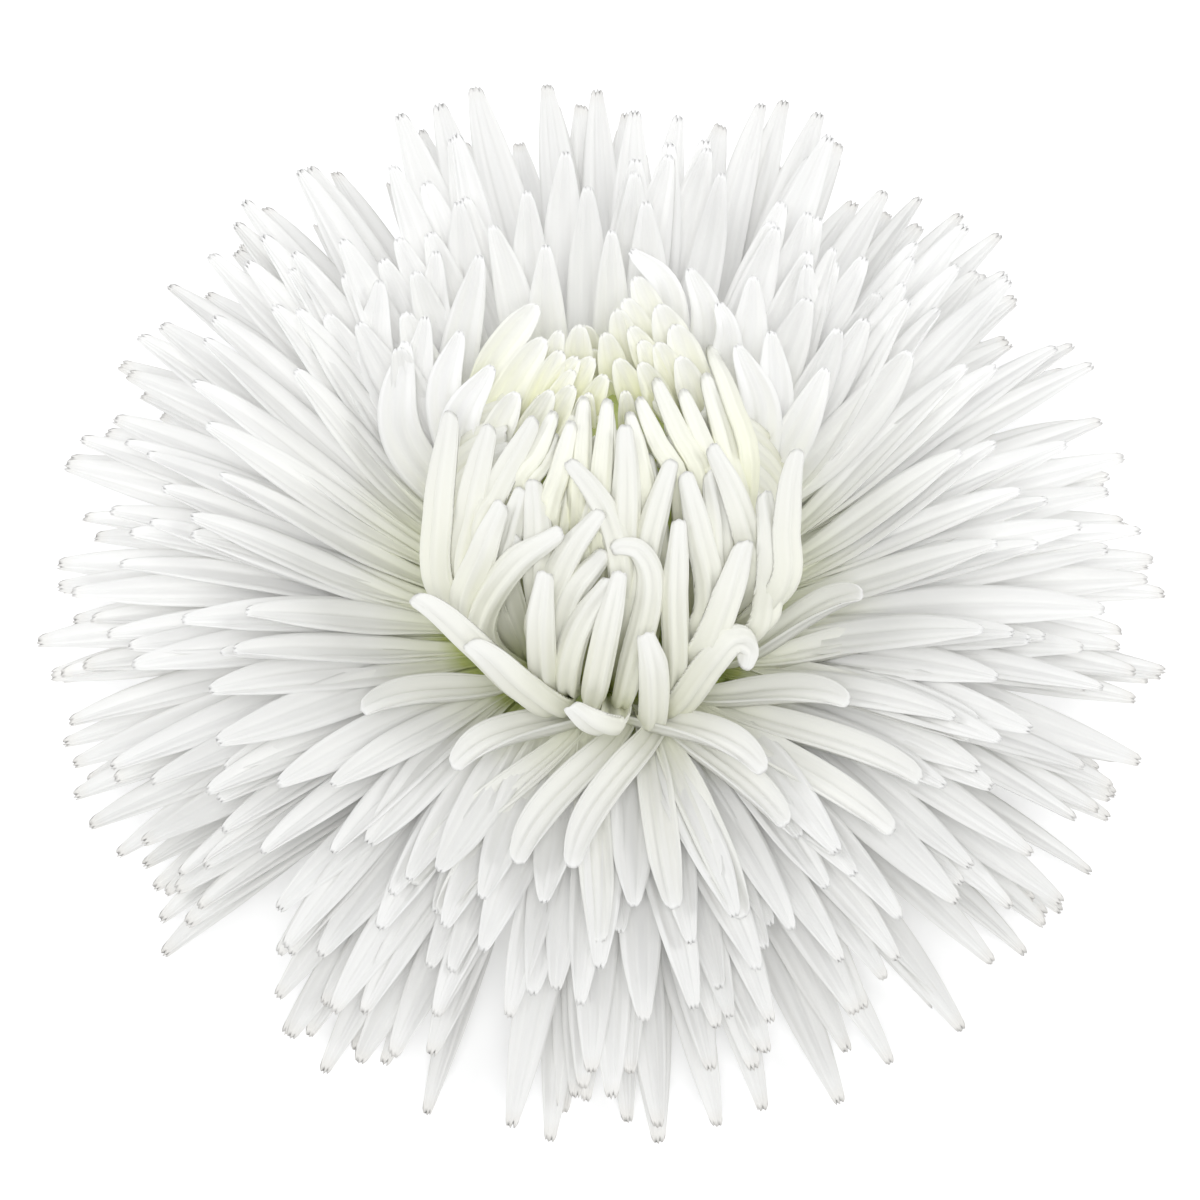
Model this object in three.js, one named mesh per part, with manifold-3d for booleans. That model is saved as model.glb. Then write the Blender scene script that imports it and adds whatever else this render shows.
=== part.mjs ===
// A double white chrysanthemum bloom, picked with a short stub of its stalk and lying face up.
// Millimetres, +Z up along the axis of the bloom, -Y to the side that is seen in front.
// The rim is the plane that the outermost florets leave from.

import * as THREE from 'three';
import { mergeVertices } from 'three/addons/utils/BufferGeometryUtils.js';
import Module from 'manifold-3d';

// Driving dimensions, in millimetres, with every slope and angle in degrees.
const REACH = 59;
const RIM_HEIGHT = 9.5;
const GAP = 0.3;
const STALK = { radius: 2.7, height: 2.6, flare: 0.4 };
const CUP = { footRadius: 3.3, bellyRadius: 6.4, radius: 8.4, top: RIM_HEIGHT - 2 };
const BRACTS = { rows: 3, perRow: 11, width: 4.0, thickness: 0.8 };
const BALL = { radius: 19.5, centre: new THREE.Vector3(0.6, 3.0, RIM_HEIGHT + 14) };

// The packed bases of the florets, as one low disc that every white floret grows out of.
const BASE = { bottom: RIM_HEIGHT - 1.7, top: RIM_HEIGHT + 5, radius: 18.4, topRadius: 15.5 };

// Outer florets. Their slope and reach run from the outermost to the innermost, which are flatter
// and shorter in front than at the back. The outermost are seen from below right up to the cup.
const OUTER = {
  count: 150,
  width: 5.8,
  thickness: 1.2,
  rootRadius: 15,
  rootHeights: [-0.8, 2.6],
  ribs: 34,
  ribRadius: 10.4,
  lowestSlope: -8.5,
  steepestSlope: { front: 26, back: 60 },
  shortestReach: { front: 36, back: 48 },
  steepestStart: 30,
  arch: 8,
  tipClearance: 0.6,
};
// Crown florets, which climb the side of the ball. Those that reach further lie deeper.
const CROWN = {
  backCount: 20,
  width: 3.6,
  thickness: 1.4,
  rootRadius: 13,
  rootHeight: 3.6,
  kneeAngle: { front: 116, back: 108 },
  layerDepth: 2.4,
  standOff: 0.5,
};
// Heart florets, which close over the top of a smaller ball.
const HEART = {
  count: 40,
  width: 3.0,
  thickness: 1.1,
  radius: 15.8,
  coreRadius: 15.4,
  floor: BASE.top + GAP,
  tipAngles: [50, 4],
  spans: [34, 22],
};

// Crown florets in front, from their knee to their tip: azimuth of each, and the angle of the tip
// from the top of the ball.
const FRONT_CROWN = [
  [-122, -118, 56], [-100, -88, 55], [-78, -80, 74], [-62, -30, 58], [-148, -138, 62],
  [-163, -157, 46], [-146, -112, 40], [-133, -150, 34], [-118, -98, 30], [-88, -134, 20],
  [-92, -74, 9], [-74, -36, 22], [-50, -34, 28], [-68, -57, 40], [-36, -8, 32],
  [-24, -12, 55], [-12, 16, 66], [-173, -205, 66],
];
// Crown florets that lie outward over the front: azimuth of root and tip, radius of the tip and its
// height over the rim, and the slopes that they leave and arrive with.
const OUTWARD_CROWN = [
  [-128, -166, 23, 16.5, 22, 62], [-122, -157, 24, 15, 16, 40], [-20, -14, 27, 15.5, 14, 30],
  [-38, -40, 30.5, 13, 14, 14], [-50, -63, 32, 13, 22, -2], [-58, -64, 37.4, 11.5, 16, 6],
  [-118, -119, 31.4, 13.5, 20, 4], [-138, -139, 32, 12.5, 18, 8], [-100, -110, 36, 11, 20, 2],
  [-92, -97, 36.5, 11, 22, 2], [-30, -43, 42, 12, 14, 12],
];

// Outlines along a floret or a bract: share of its length, and share of its full width there.
const OUTER_OUTLINE = [[0, 0.55], [0.45, 1], [0.8, 0.9], [1, 0.3]];
const CROWN_OUTLINE = [[0, 0.7], [0.3, 0.9], [0.6, 1], [0.86, 0.9], [1, 0.4]];
const HEART_OUTLINE = [[0, 0.7], [0.45, 1], [0.85, 0.9], [1, 0.4]];
const BRACT_OUTLINE = [[0, 0.8], [0.5, 1], [1, 0.3]];

const GOLDEN_ANGLE = 137.50776;
const GOLDEN_RATIO = 0.618034;
const { degToRad, radToDeg, lerp } = THREE.MathUtils;

const wasm = await Module();
wasm.setup();

// A repeatable scatter between -1 and 1 for the floret with this number.
function scatter(number, channel) {
  const wave = Math.sin(number * 12.9898 + channel * 78.233 + 4.1) * 43758.5453;
  return 2 * (wave - Math.floor(wave)) - 1;
}

function around(azimuth, radius, height, centre = { x: 0, y: 0 }) {
  const turn = degToRad(azimuth);
  return new THREE.Vector3(
    centre.x + radius * Math.cos(turn), centre.y + radius * Math.sin(turn), height);
}

function heading(azimuth, slope) {
  const level = Math.cos(degToRad(slope));
  return around(azimuth, level, Math.sin(degToRad(slope)));
}

// A point over the ball at an angle from its top.
function onBall(azimuth, angle, radius) {
  const tilt = degToRad(angle);
  return around(azimuth, radius * Math.sin(tilt), BALL.centre.z + radius * Math.cos(tilt), BALL.centre);
}

function toSolid(geometry) {
  const bare = geometry.clone();
  for (const name of ['normal', 'uv']) bare.deleteAttribute(name);
  const merged = mergeVertices(bare, 1e-4);
  return new wasm.Manifold(new wasm.Mesh({
    numProp: 3,
    vertProperties: new Float32Array(merged.attributes.position.array),
    triVerts: new Uint32Array(merged.index.array),
  }));
}

function toGeometry(solid) {
  const mesh = solid.getMesh();
  const geometry = new THREE.BufferGeometry();
  geometry.setAttribute('position', new THREE.BufferAttribute(mesh.vertProperties, 3));
  geometry.setIndex(new THREE.BufferAttribute(mesh.triVerts, 1));
  geometry.computeVertexNormals();
  return geometry;
}

// Joins solids in pairs, so that each join stays small.
function joinAll(solids) {
  let level = solids;
  while (level.length > 1) {
    const next = [];
    for (let i = 0; i < level.length; i += 2) {
      next.push(i + 1 < level.length ? level[i].add(level[i + 1]) : level[i]);
    }
    level = next;
  }
  return level[0];
}

// The biggest body of a solid: a scrap that a cut leaves loose is dropped.
function mainBody(solid) {
  return solid.decompose().reduce((best, body) => (body.volume() > best.volume() ? body : best));
}

function turned(profile, sides, centre = { x: 0, y: 0 }) {
  const points = profile.map(([radius, height]) => new THREE.Vector2(radius, height));
  const geometry = new THREE.LatheGeometry(points, sides);
  geometry.rotateX(Math.PI / 2);
  geometry.translate(centre.x, centre.y, 0);
  return toSolid(geometry);
}

// A blade along a curve, with a flat inner face between two edges and a keel along its back.
function blade({ curve, azimuths, width, thickness, outline, roll = 0 }) {
  const positions = [];
  for (const [share, widthShare] of outline) {
    const point = curve.getPointAt(share);
    const tangent = curve.getTangentAt(share);
    const side = heading(lerp(azimuths[0], azimuths[1], share) + 90, 0);
    side.addScaledVector(tangent, -side.dot(tangent)).normalize();
    side.applyAxisAngle(tangent, degToRad(roll));
    const inward = new THREE.Vector3().crossVectors(tangent, side);
    const half = width * widthShare / 2;
    const depth = thickness * lerp(0.5, 1, widthShare);
    for (const [across, up] of [[-half, depth / 3], [0, -depth * 2 / 3], [half, depth / 3]]) {
      positions.push(...point.clone().addScaledVector(side, across).addScaledVector(inward, up));
    }
  }
  const last = (outline.length - 1) * 3;
  const triangles = [0, 2, 1, last, last + 1, last + 2];
  for (let row = 0; row < last; row += 3) {
    for (let k = 0; k < 3; k += 1) {
      const a = row + k;
      const b = row + (k + 1) % 3;
      triangles.push(a, b, b + 3, a, b + 3, a + 3);
    }
  }
  const geometry = new THREE.BufferGeometry();
  geometry.setAttribute('position', new THREE.BufferAttribute(new Float32Array(positions), 3));
  geometry.setIndex(triangles);
  return toSolid(geometry);
}

// A middle line that leaves its root and meets its tip at the slopes given.
function sweep(root, rootAzimuth, leave, tip, tipAzimuth, arrive) {
  const handle = root.distanceTo(tip) / 3;
  const first = root.clone().addScaledVector(heading(rootAzimuth, leave), handle);
  const second = tip.clone().addScaledVector(heading(tipAzimuth, arrive), -handle);
  return new THREE.CubicBezierCurve3(root, first, second, tip);
}

// A middle line that climbs the ball from one angle to another, with or without a root below.
function climb({ root, azimuths, angles, radii }) {
  const points = root ? [root] : [];
  const steps = 5;
  for (let i = 0; i <= steps; i += 1) {
    const share = i / steps;
    points.push(onBall(
      lerp(azimuths[0], azimuths[1], share), lerp(angles[0], angles[1], share),
      lerp(radii[0], radii[1], share * share)));
  }
  return new THREE.CatmullRomCurve3(points);
}

function outerFloret(_, number) {
  const rank = (number + 0.5) / OUTER.count;
  const azimuth = number * GOLDEN_ANGLE + 6 * scatter(number, 1);
  const tipAzimuth = azimuth + 5 * scatter(number, 5);
  const back = 0.5 + 0.5 * Math.sin(degToRad(azimuth));
  const steepest = lerp(OUTER.steepestSlope.front, OUTER.steepestSlope.back, back);
  const slope = degToRad(lerp(OUTER.lowestSlope, steepest, rank) + scatter(number, 2));
  const shortest = lerp(OUTER.shortestReach.front, OUTER.shortestReach.back, back);
  const inward = Math.max(0, (rank - 0.25) / 0.75) ** 1.25;
  const reach = lerp(REACH, shortest, inward) * (1 + 0.04 * scatter(number, 3));
  const tipHeight = Math.max(RIM_HEIGHT + reach * Math.sin(slope), OUTER.tipClearance);
  const tip = around(tipAzimuth, reach * Math.cos(slope), tipHeight);

  const isRib = number < OUTER.ribs;
  const rootRadius = isRib ? OUTER.ribRadius : OUTER.rootRadius;
  const rootHeight = isRib ? BASE.bottom : RIM_HEIGHT + lerp(...OUTER.rootHeights, rank);
  const root = around(azimuth, rootRadius, rootHeight);
  const chord = radToDeg(Math.atan2(tip.z - root.z, reach * Math.cos(slope) - rootRadius));
  const leave = Math.min(chord + OUTER.arch + 2 * scatter(number, 6), OUTER.steepestStart);
  const catchUp = (chord + OUTER.arch - leave) / 3;
  return blade({
    curve: sweep(root, azimuth, leave, tip, tipAzimuth, chord - OUTER.arch + catchUp),
    azimuths: [azimuth, tipAzimuth],
    width: OUTER.width * lerp(1, 0.86, rank) * (1 + 0.1 * scatter(number, 8)),
    thickness: OUTER.thickness,
    outline: OUTER_OUTLINE,
    roll: 6 * scatter(number, 9),
  });
}

function crownFloret(azimuths, kneeAngle, tipAngle) {
  const layer = BALL.radius + CROWN.layerDepth * (tipAngle / 80 - 0.5);
  return blade({
    curve: climb({
      root: crownRoot(azimuths[0]),
      azimuths,
      angles: [kneeAngle, tipAngle],
      radii: [layer, layer + CROWN.standOff],
    }),
    azimuths,
    width: CROWN.width,
    thickness: CROWN.thickness,
    outline: CROWN_OUTLINE,
  });
}

function crownRoot(azimuth) {
  return around(azimuth, CROWN.rootRadius, RIM_HEIGHT + CROWN.rootHeight);
}

// The rest of the crown, round the back of the ball.
function backCrownFloret(_, number) {
  const rank = (number + 0.5) / CROWN.backCount;
  const azimuth = lerp(-10, 190, (number * GOLDEN_RATIO) % 1);
  const azimuths = [azimuth, azimuth + 8 * scatter(number, 13)];
  return crownFloret(azimuths, CROWN.kneeAngle.back, lerp(86, 26, rank) + 5 * scatter(number, 12));
}

function outwardFloret([rootAzimuth, tipAzimuth, radius, height, leave, arrive]) {
  const tip = around(tipAzimuth, radius, RIM_HEIGHT + height);
  return blade({
    curve: sweep(crownRoot(rootAzimuth), rootAzimuth, leave, tip, tipAzimuth, arrive),
    azimuths: [rootAzimuth, tipAzimuth],
    width: CROWN.width * 1.1,
    thickness: CROWN.thickness,
    outline: CROWN_OUTLINE,
  });
}

function makeWhiteFlorets() {
  const base = turned([
    [0, BASE.bottom], [CUP.radius, BASE.bottom], [BASE.radius - 1, RIM_HEIGHT - 1.1],
    [BASE.radius, RIM_HEIGHT + 0.2], [BASE.radius - 0.4, RIM_HEIGHT + 3.2],
    [BASE.topRadius, BASE.top], [0, BASE.top],
  ], 24);
  const frontCrown = FRONT_CROWN.map(([knee, tip, tipAngle]) => (
    crownFloret([knee, tip], CROWN.kneeAngle.front, tipAngle)));
  const florets = joinAll([
    ...Array.from({ length: OUTER.count }, outerFloret),
    ...frontCrown,
    ...Array.from({ length: CROWN.backCount }, backCrownFloret),
    ...OUTWARD_CROWN.map(outwardFloret),
  ]);
  return mainBody(florets.add(base).subtract(heartRoom()));
}

// The outline of a ball that is cut flat below, from its underside to its top.
function ballOutline(radius, floor, steps) {
  const lowest = Math.acos((floor - BALL.centre.z) / radius);
  const outline = [[0, floor]];
  for (let i = 0; i < steps; i += 1) {
    const angle = lerp(lowest, 0, i / steps);
    outline.push([radius * Math.sin(angle), BALL.centre.z + radius * Math.cos(angle)]);
  }
  outline.push([0, BALL.centre.z + radius]);
  return outline;
}

// The space that the heart fills, with a gap all round.
function heartRoom() {
  const radius = HEART.radius + HEART.thickness + GAP;
  return turned(ballOutline(radius, HEART.floor - GAP, 10), 24, BALL.centre);
}

function heartFloret(_, number) {
  const rank = (number + 0.5) / HEART.count;
  const azimuth = number * GOLDEN_ANGLE + 6 * scatter(number, 14);
  const tipAngle = lerp(...HEART.tipAngles, rank ** 0.75);
  return blade({
    curve: climb({
      azimuths: [azimuth, azimuth],
      angles: [tipAngle + lerp(...HEART.spans, rank), tipAngle],
      radii: [HEART.radius - 0.8, HEART.radius + 0.6],
    }),
    azimuths: [azimuth, azimuth],
    width: HEART.width * lerp(1, 0.7, rank),
    thickness: HEART.thickness,
    outline: HEART_OUTLINE,
  });
}

function makeHeart() {
  const core = turned(ballOutline(HEART.coreRadius, HEART.floor, 8), 20, BALL.centre);
  return mainBody(joinAll(Array.from({ length: HEART.count }, heartFloret)).add(core));
}

// The green cup under the bloom, with its bracts in rows that overlap like tiles.
function makeCalyx() {
  const foot = STALK.height + GAP;
  const cup = turned([
    [0, foot], [CUP.footRadius, foot], [CUP.bellyRadius, foot + 1.6], [CUP.radius, CUP.top - 1.4],
    [CUP.radius, CUP.top], [0, CUP.top],
  ], 20);
  const bracts = [];
  for (let row = 0; row < BRACTS.rows; row += 1) {
    const rise = row / (BRACTS.rows - 1);
    for (let i = 0; i < BRACTS.perRow; i += 1) {
      const azimuth = (i + row / BRACTS.rows) * 360 / BRACTS.perRow;
      const root = around(azimuth, lerp(3.4, 6.2, rise), foot + lerp(0.7, 1.9, rise));
      const tip = around(azimuth, lerp(7.6, 9.4, rise), lerp(foot + 1.5, CUP.top - 0.4, rise));
      bracts.push(blade({
        curve: sweep(root, azimuth, lerp(10, 30, rise), tip, azimuth, lerp(40, 70, rise)),
        azimuths: [azimuth, azimuth],
        width: BRACTS.width,
        thickness: BRACTS.thickness,
        outline: BRACT_OUTLINE,
      }));
    }
  }
  return mainBody(joinAll(bracts).add(cup));
}

function makeStem() {
  const neck = STALK.radius + STALK.flare;
  return turned([
    [0, 0], [STALK.radius, 0], [STALK.radius, STALK.height * 0.6], [neck, STALK.height],
    [0, STALK.height],
  ], 16);
}

function petal(color) {
  return new THREE.MeshStandardMaterial({ color, roughness: 0.55, metalness: 0 });
}

function greenTissue(color) {
  return new THREE.MeshStandardMaterial({ color, roughness: 0.7, metalness: 0 });
}

function named(name, solid, material) {
  const mesh = new THREE.Mesh(toGeometry(solid), material);
  mesh.name = name;
  return mesh;
}

const bloom = new THREE.Group();
bloom.add(
  named('stem', makeStem(), greenTissue(0x7d984f)),
  named('calyx', makeCalyx(), greenTissue(0x8ba45c)),
  named('white_florets', makeWhiteFlorets(), petal(0xf4f5f1)),
  named('heart_florets', makeHeart(), petal(0xe9efc4)),
);

// The origin is under the middle of the bloom, on the surface that it lies on.
const box = new THREE.Box3().setFromObject(bloom);
const middle = box.getCenter(new THREE.Vector3());
bloom.position.set(-middle.x, -middle.y, -box.min.z);
bloom.updateMatrixWorld(true);

export default bloom;
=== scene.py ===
"""Dress the chrysanthemum bloom: fine florets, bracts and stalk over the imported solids."""
import math

import bpy
import numpy as np
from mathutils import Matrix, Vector


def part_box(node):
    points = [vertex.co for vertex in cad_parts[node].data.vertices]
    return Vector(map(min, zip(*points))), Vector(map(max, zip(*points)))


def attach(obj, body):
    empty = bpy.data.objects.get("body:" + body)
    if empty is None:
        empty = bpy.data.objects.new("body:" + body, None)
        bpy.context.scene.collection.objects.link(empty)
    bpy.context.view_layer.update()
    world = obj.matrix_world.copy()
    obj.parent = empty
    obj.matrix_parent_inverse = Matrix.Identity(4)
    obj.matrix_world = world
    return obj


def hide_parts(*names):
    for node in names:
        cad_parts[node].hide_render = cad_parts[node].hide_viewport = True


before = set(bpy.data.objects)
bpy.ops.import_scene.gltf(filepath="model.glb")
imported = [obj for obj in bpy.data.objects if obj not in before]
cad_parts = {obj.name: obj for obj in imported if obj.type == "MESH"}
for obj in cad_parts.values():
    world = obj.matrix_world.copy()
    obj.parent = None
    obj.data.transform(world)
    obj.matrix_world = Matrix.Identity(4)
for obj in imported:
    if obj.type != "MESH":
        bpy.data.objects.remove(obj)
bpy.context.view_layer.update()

# Lengths are in millimetres and angles in degrees until a mesh is made.
MM = 0.001
GOLDEN_ANGLE = 137.50776
GOLDEN_RATIO = 0.618034


def box_mm(node):
    low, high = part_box(node)
    return np.array(low) / MM, np.array(high) / MM


stem_low, stem_high = box_mm("stem")
calyx_high = box_mm("calyx")[1]
white_high = box_mm("white_florets")[1]

# Everything stays this far inside the solids, and this far over the floor.
INSET = 0.4
FLOOR_GAP = 0.02
# The stalk stands on the axis of the bloom, and the florets leave the cup at its rim.
AXIS = (stem_low[:2] + stem_high[:2]) / 2
STALK_RADIUS = (stem_high[0] - stem_low[0]) / 2 - INSET
STALK_HEIGHT = stem_high[2]
CUP_FOOT = STALK_HEIGHT + 0.3
RIM_HEIGHT = calyx_high[2] + 2.0
LIMIT_RADIUS = white_high[0] - AXIS[0] - INSET
LIMIT_HEIGHT = white_high[2] - INSET
# The crown florets close over a ball that stands a little behind the axis of the bloom. The heart
# stands behind the middle of the ball, and the upright florets stand round it.
BALL_OFFSET = np.array([0.6, 3.0])
BALL_HEIGHT = RIM_HEIGHT + 14.0
BALL_MIDDLE = np.array([*BALL_OFFSET, BALL_HEIGHT])
HEART_AXIS = np.array([0.5, 6.0])
HEART_HEIGHT = RIM_HEIGHT + 27.8

# The camera of the photo, as estimated: it looks down on the middle of the rim, at this pixel.
PHOTO_SIZE = 1200
CAMERA = dict(elevation=56.0, distance=262.0, pixels_per_mm=9.3, centre=(601, 610))

# Florets of one kind are ranked from 0 to 1, and a pair of values runs from the first rank to the
# last, or along a floret from its root to its tip. A pair named by_side runs from the front of the
# bloom to its back. A spread says how far each trait scatters to both sides.
OUTER = dict(
    count=410, width=(4.8, 4.6), back_widening=0.18, root_curl=150, tip_curl=(90.0, 84.0),
    longest_reach=59.0, front_cut=2.5, right_cut=1.2, shortest_reach_by_side=(41.0, 48.0),
    shortening_rank=0.25, shortening_by_side=(1.25, 2.2),
    lowest_slope=-8.5, steepest_slope_by_side=(14.0, 60.0), tip_clearance=0.6,
    root_radius=15.0, root_heights=(-0.8, 2.6), steepest_start=30.0, arch=8.0,
    look=dict(thickness=0.5, tip_width=0.26, teeth=0.42),
    spread=dict(azimuth=6, tip_azimuth=5, rise=2.5, reach=0.045, leave=4, arrive=5, width=0.10, curl=16,
                roll=12, twist=12))
# The lowest outer florets are rooted deeper in.
DEEP_ROOTS = dict(count=76, radius=9.6, height=-1.6)
# Some florets at the back are shorter and lower, and close the gaps over the green cup: one in three
# from the lowest rank, and two in three from the dense rank.
FILLER = dict(reach=0.68, slope=0.58, back=0.85, lowest_rank=0.45, dense_rank=0.72)
# Places where the lower florets lean apart: azimuth and half width.
PARTINGS = [(-131, 9), (-70, 5)]
PARTING = dict(push=0.6, ranks=(0.3, 0.7))
# Outer florets carry painted shade on the edges and tips of the lower ranks, and painted shade that makes
# them darker in front and on the lower ranks behind.
TIP_AND_EDGE_SHADE_RANKS = (0.3, 0.8)
PAINTED_SHADE = dict(everywhere=0.4, front=2.5, behind=(1.3, -0.8), ranks_behind=(0.5, 0.95))

# Upright florets at the sides of the heart. They stand taller and lean in less towards the back.
UPRIGHT = dict(
    count=22, azimuths=((12.0, 55.0), (125.0, 168.0)), radii=(31.0, 22.0), nominal_radius=13.0,
    root_radius=14.5, root_height=3.0, width=4.9, over_heart=2.5, back_rise=4.5, outward_rise=2.5,
    lean=18.0, outward_lean=1.44, slopes_at_root=(35, 100),
    look=dict(curl=(140, 74), thickness=0.5, tip_width=0.32, teeth=0.3),
    spread=dict(reach=0.6, rise=0.9, tip_azimuth=3, upright_arrive=4, width=0.1, roll=10, twist=14))
WALL = dict(narrowing=0.84, look=dict(curl=(140, 72), thickness=0.45, tip_width=0.24, teeth=0.3))

# The crown florets carry strong painted shade that darkens them. The long florets in front of the heart
# carry less.
CROWN = dict(
    root_radius=13.0, root_height=3.6, spread=dict(width=0.07, roll=8, twist=8),
    look=dict(width=4.8, curl=(205, 190), thickness=0.55, tip_width=0.6, teeth=0.12, yellow=0.3, dull=1.9))
OUTWARD_LOOK = dict(CROWN["look"], curl=(190, 150), yellow=0.1)
FLANK_LOOK = dict(CROWN["look"], curl=(180, 150), yellow=0.4)
HEART_FINGER_LOOK = dict(CROWN["look"], curl=(160, 150), width=3.3, yellow=0.5, dull=0.9)

# Short florets of the heart: they lean in over its pit, less so behind it and more in front. Their
# slopes take these shares of the lean at the root, on the whole and at the tip.
HEART = dict(
    count=44, width=(4.4, 3.2), radius=9.5, pit_radius=5.0, length=14.0, yellow=(0.35, 1.0),
    pit_depth=1.5, back_rise=2.5, front_drop=3.5, outer_drop=1.5,
    lean=20.0, back_lean=-26.0, front_lean=10.0, middle_lean=0.2, full_lean_radius=5.0,
    slopes_by_lean=(0.3, 0.8, 1.6), look=dict(curl=(150, 120), thickness=0.45, tip_width=0.55, teeth=0.4),
    spread=dict(heart_azimuth=6, heart_radius=0.4, heart_lean=4, heart_height=0.5, heart_turn=10,
                roll=16, twist=16))
HEART_TIP = dict(
    narrowing=0.82, root_drop=1.5, least_yellow=0.25, yellow_radius=12.0,
    look=dict(curl=(140, 110), thickness=0.45, tip_width=0.46, teeth=0.2))

# Bracts are short, wide florets. Pairs run from the lowest row to the highest.
BRACTS = dict(
    rows=4, per_row=15, root_radius=(3.2, 6.8), root_height=(0.5, 1.7), tip_radius=(7.2, 9.3),
    tip_over_foot=1.7, tip_under_rim=2.2, leave=(8, 30), arrive=(42, 72),
    look=dict(width=3.6, curl=(60, 70), thickness=0.4, tip_width=0.3, teeth=0.0),
    spread=dict(bract_azimuth=4, bract_radius=0.3, bract_roll=4))

# The form of a floret, in shares of its length, its width and its half width.
FORM = dict(
    root_width=0.45, widest=0.55, taper_start=0.42, taper=3.2, blunt_taper=4.4, blunt_tip=0.4,
    opened=0.5, closing_start=0.8, closing=36,
    rib_height=0.085, ribs_rise=(0.04, 0.3), ribs_fade=(0.88, 1), rib_loss=0.6,
    edge_thinning=0.72, tip_thinning=0.5, thinning_start=0.7,
    rounding=0.62, roundness=0.995, teeth=((0.2, 1.0), (-0.36, 0.8)), tooth_width=0.15,
    tooth_shift=0.12, tooth_variety=0.35)
# How far the points of a floret crowd towards its edges and its tip, and how many its line has.
CROWDING = dict(across=0.4, lengthwise=0.55)
LINE_POINTS = 96
TONE = dict(middle=0.1, spread=0.1)
# A floret whose line runs this much along its own width doesn't stand on its azimuth.
RUNS_SIDEWAYS = 0.75

# The number that each kind of floret counts its seeds from, and the channel of each trait, so that no
# two traits of a floret scatter alike.
SEEDS = dict(upright=400, finger=500, crown=800, heart=900, bract=1000, wall=1200, heart_tip=1300)
CHANNELS = dict(
    azimuth=1, rise=2, reach=3, tip_azimuth=5, leave=6, arrive=7, width=8, roll=9, twist=10, curl=11,
    upright_arrive=6, bract_azimuth=1, bract_radius=2, bract_roll=3,
    heart_azimuth=14, heart_radius=15, heart_lean=16, heart_height=17, heart_turn=18,
    tooth_place=20, tooth_depth=21, shade_and_tone=30)
SCATTER = dict(seed_step=12.9898, channel_step=78.233, start=4.1, stretch=43758.5453)

# Where the photo shows the crown florets in front, as places along each from its root to its tip:
# pixels across and down, and the distance from the middle of the ball.
FINGERS = [
    [(537, 697, 23), (530, 634, 24.5), (537, 571, 24)],
    [(586, 706, 23.5), (600, 637, 25), (614, 571, 24.5)],
    [(649, 726, 24.5), (651, 677, 26), (640, 633, 26)],
    [(617, 706, 22.5), (634, 650, 22.5), (645, 605, 22.5), (645, 573, 22.5), (632, 552, 22.6),
     (614, 549, 22.3), (605, 553, 22)],
    [(700, 657, 22.5), (726, 603, 24), (744, 540, 24)],
    [(671, 714, 23.5), (709, 669, 24.5), (731, 645, 25), (746, 652, 25.5), (741, 672, 26)],
    [(670, 686, 22), (671, 597, 22.5), (674, 519, 22)],
    [(700, 637, 21.5), (709, 591, 22), (697, 534, 22), (680, 471, 21)],
    [(632, 610, 20), (640, 557, 20.4), (651, 511, 20.8), (667, 459, 20.3)],
    [(618, 620, 20), (620, 534, 20.3), (621, 480, 20.3), (619, 424, 19.5)],
    [(615, 590, 20.5), (606, 534, 20.9), (586, 494, 21.2), (560, 461, 20.8)],
    [(532, 645, 21), (546, 597, 21.6), (569, 549, 22), (597, 511, 21.5)],
    [(477, 649, 22), (474, 614, 23), (509, 563, 23.3), (556, 530, 22.5)],
    [(454, 614, 22.5), (471, 551, 23.5), (494, 500, 22.5)],
    [(527, 590, 20.2), (526, 534, 20.5), (524, 479, 20)],
    [(492, 580, 20.5), (500, 530, 20.8), (514, 487, 20.3)],
    [(478, 610, 20.6), (490, 570, 21), (510, 534, 20.6)],
    [(431, 597, 24), (426, 506, 25), (441, 410, 24)],
    [(450, 585, 22.5), (457, 514, 22.8), (468, 463, 22.5), (481, 423, 21.5)],
    [(467, 540, 21.5), (486, 486, 21.3), (527, 415, 20)],
    [(560, 691, 22.5), (571, 637, 23), (606, 580, 22.5)],
    [(553, 666, 21), (562, 600, 21.5), (600, 551, 21)],
    [(757, 590, 22.3), (746, 534, 22.8), (731, 489, 23), (706, 443, 22)],
    [(754, 634, 23.5), (769, 597, 24.5), (771, 549, 25), (761, 490, 24)],
    [(778, 595, 25.5), (786, 530, 26.8), (789, 485, 27), (795, 449, 26.8)],
    [(722, 610, 21), (719, 560, 21.3), (716, 510, 21.3), (707, 469, 20.8)],
    [(612, 716, 23.5), (604, 731, 26), (583, 727, 27.5), (560, 708, 27.5)],
    [(549, 714, 24), (512, 692, 26.5), (480, 662, 28.5), (458, 645, 29)],
    [(520, 700, 23.5), (470, 655, 27), (430, 618, 29.5), (403, 600, 30.5)],
]
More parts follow.
